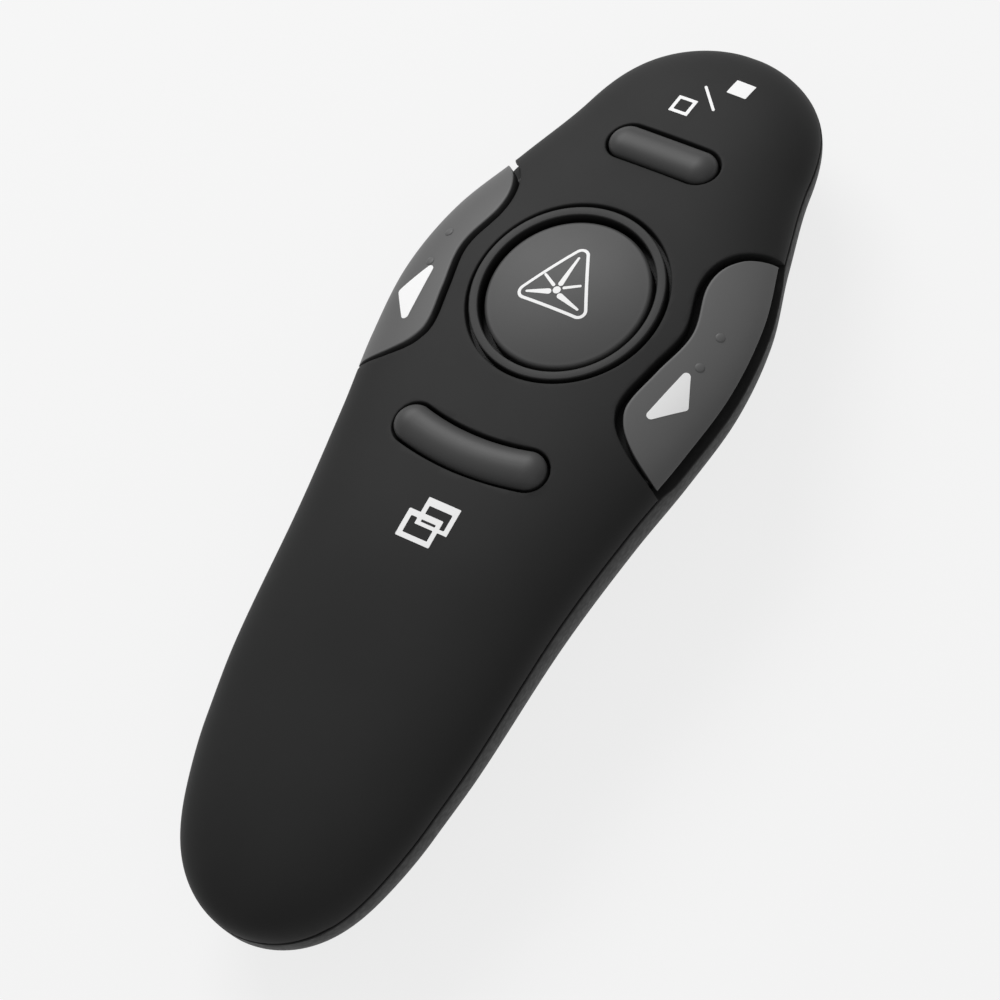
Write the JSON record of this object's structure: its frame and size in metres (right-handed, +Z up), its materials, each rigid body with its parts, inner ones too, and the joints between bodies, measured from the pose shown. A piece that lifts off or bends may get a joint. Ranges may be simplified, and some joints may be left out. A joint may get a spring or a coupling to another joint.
{
  "type": "wireless presentation clicker",
  "caption": "Hand-held wireless slide presenter: round laser button in a trim ring, curved and oblong buttons, grey side keys for paging, battery bay and stored USB receiver.",
  "frame": {"origin": "middle of the box's base, under the body, on the surface that it rests on", "axes": "+Y towards the nose where the laser leaves, +X to the right seen from above, +Z up through the buttons"},
  "size_m": [0.0478, 0.1268, 0.0247],
  "materials": {
    "case_top": "soft-touch black",
    "case_bottom": "fine-grain black",
    "trim": "satin black",
    "key_dark": "satin dark grey",
    "key_grey": "satin mid grey",
    "switch_black": "moulded black",
    "plunger_ivory": "moulded ivory",
    "board_green": "solder mask",
    "chip_black": "epoxy",
    "tin_plate": "tinned",
    "ceramic": "fired ceramic",
    "copper_gold": "gold-plated copper",
    "brass": "turned brass",
    "spring_steel": "drawn wire",
    "screw_steel": "zinc plated",
    "nickel": "nickel plated",
    "lens_clear": "clear acrylic",
    "window_red": "tinted acrylic",
    "lead_red": "wire sleeve",
    "cell_sleeve": "printed sleeve",
    "tongue_white": "moulded white"
  },
  "bodies": {
    "case": {"top_shell": "case_top", "bottom_shell": "case_bottom", "trim_ring": "trim", "main_board": "board_green", "switch_housings": "switch_black", "controller_chip": "chip_black", "crystal": "tin_plate", "board_capacitors": "ceramic", "aerial": "copper_gold", "power_switch_body": "tin_plate", "laser_barrel": "brass", "laser_diode": "copper_gold", "focus_spring": "spring_steel", "laser_lens": "lens_clear", "lens_nut": "brass", "laser_driver_board": "board_green", "laser_leads": "lead_red", "nose_bezel": "trim", "nose_window": "window_red", "left_cell": "cell_sleeve", "right_cell": "cell_sleeve", "tail_contact": "nickel", "front_contacts": "nickel", "cell_springs": "spring_steel", "case_screws": "screw_steel"},
    "laser_key": {"laser_button": "key_dark", "laser_plunger": "plunger_ivory"},
    "blank_key": {"blank_button": "key_dark", "blank_plunger": "plunger_ivory"},
    "window_key": {"window_button": "key_dark", "window_plunger": "plunger_ivory"},
    "back_key": {"page_back_key": "key_grey", "page_back_plunger": "plunger_ivory"},
    "forward_key": {"page_forward_key": "key_grey", "page_forward_plunger": "plunger_ivory"},
    "power_slide": {"power_slider": "key_dark", "power_switch_lever": "switch_black"},
    "battery_door": {"battery_cover": "case_bottom"},
    "receiver": {"receiver_case": "case_bottom", "receiver_board": "board_green", "receiver_plug_shell": "nickel", "receiver_tongue": "tongue_white", "receiver_contacts": "copper_gold"}
  },
  "joints": [
    {"name": "laser_press", "type": "slide", "parent": "case", "child": "laser_key", "axis": [0, 0, -1], "range_m": [0, 0.0005], "stiffness_N_per_m": 1500},
    {"name": "blank_press", "type": "slide", "parent": "case", "child": "blank_key", "axis": [0, 0, -1], "range_m": [0, 0.0005], "stiffness_N_per_m": 1500},
    {"name": "window_press", "type": "slide", "parent": "case", "child": "window_key", "axis": [0, 0, -1], "range_m": [0, 0.0005], "stiffness_N_per_m": 1500},
    {"name": "page_back_press", "type": "slide", "parent": "case", "child": "back_key", "axis": [0, 0, -1], "range_m": [0, 0.0005], "stiffness_N_per_m": 1500},
    {"name": "page_forward_press", "type": "slide", "parent": "case", "child": "forward_key", "axis": [0, 0, -1], "range_m": [0, 0.0005], "stiffness_N_per_m": 1500},
    {"name": "power_slide_travel", "type": "slide", "parent": "case", "child": "power_slide", "axis": [0, 1, 0], "range_m": [0, 0.0025]},
    {"name": "battery_door_slide", "type": "slide", "parent": "case", "child": "battery_door", "axis": [0, -1, 0], "range_m": [0, 0.05]},
    {"name": "receiver_lift", "type": "slide", "parent": "case", "child": "receiver", "axis": [0, 0, -1], "range_m": [0, 0.009]}
  ]
}
